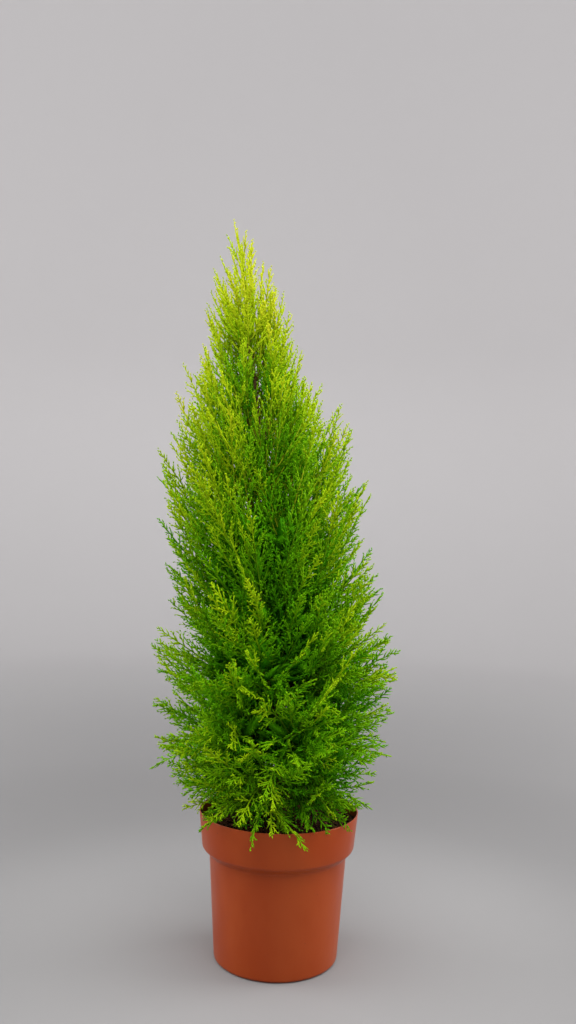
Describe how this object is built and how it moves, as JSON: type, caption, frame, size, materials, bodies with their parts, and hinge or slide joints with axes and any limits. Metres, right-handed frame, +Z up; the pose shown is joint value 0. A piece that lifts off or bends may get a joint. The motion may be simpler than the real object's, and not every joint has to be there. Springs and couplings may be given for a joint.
{
  "type": "potted lemon cypress",
  "caption": "A young lemon cypress about a metre tall: a narrow cone of feathery lime green sprays on a leaning stem, in a plain terracotta-coloured plastic pot.",
  "frame": {"origin": "middle of the pot's flat underside", "axes": "+Z up along the pot's axis, +X to the right in the picture, -Y towards the viewer; the stem leans to -X"},
  "size_m": [0.3286, 0.3262, 0.9737],
  "materials": {
    "pot_plastic": "thin moulded plastic, terracotta coloured, low sheen",
    "compost_peat": "dark crumbly peat, matt",
    "stem_bark": "thin reddish brown bark",
    "leaf_green": "fine scale-leaved sprays, lime green, darker inside the crown"
  },
  "bodies": {
    "root": {"pot": "pot_plastic", "compost": "compost_peat", "trunk": "stem_bark", "bough_3_1": "stem_bark", "bough_3_2": "stem_bark", "bough_3_3": "stem_bark", "bough_3_4": "stem_bark", "bough_3_5": "stem_bark", "bough_3_6": "stem_bark", "bough_4_1": "stem_bark", "bough_4_2": "stem_bark", "bough_4_3": "stem_bark", "bough_4_4": "stem_bark", "bough_4_5": "stem_bark", "bough_5_1": "stem_bark", "bough_5_2": "stem_bark", "bough_5_3": "stem_bark", "bough_5_4": "stem_bark", "bough_5_5": "stem_bark", "foliage_1_1": "leaf_green", "foliage_1_2": "leaf_green", "foliage_1_3": "leaf_green", "foliage_1_4": "leaf_green", "foliage_1_5": "leaf_green", "foliage_1_6": "leaf_green", "foliage_2_1": "leaf_green", "foliage_2_2": "leaf_green", "foliage_2_3": "leaf_green", "foliage_2_4": "leaf_green", "foliage_2_5": "leaf_green", "foliage_2_6": "leaf_green", "foliage_3_1": "leaf_green", "foliage_3_2": "leaf_green", "foliage_3_3": "leaf_green", "foliage_3_4": "leaf_green", "foliage_3_5": "leaf_green", "foliage_3_6": "leaf_green", "foliage_4_1": "leaf_green", "foliage_4_2": "leaf_green", "foliage_4_3": "leaf_green", "foliage_4_4": "leaf_green", "foliage_4_5": "leaf_green", "foliage_5_1": "leaf_green", "foliage_5_2": "leaf_green", "foliage_5_3": "leaf_green", "foliage_5_4": "leaf_green", "foliage_5_5": "leaf_green", "foliage_6_1": "leaf_green", "foliage_6_2": "leaf_green", "foliage_6_3": "leaf_green", "foliage_6_4": "leaf_green", "foliage_7_1": "leaf_green", "foliage_7_2": "leaf_green", "foliage_7_3": "leaf_green", "foliage_8_1": "leaf_green", "foliage_8_2": "leaf_green", "foliage_8_3": "leaf_green", "foliage_leader": "leaf_green"}
  },
  "joints": []
}
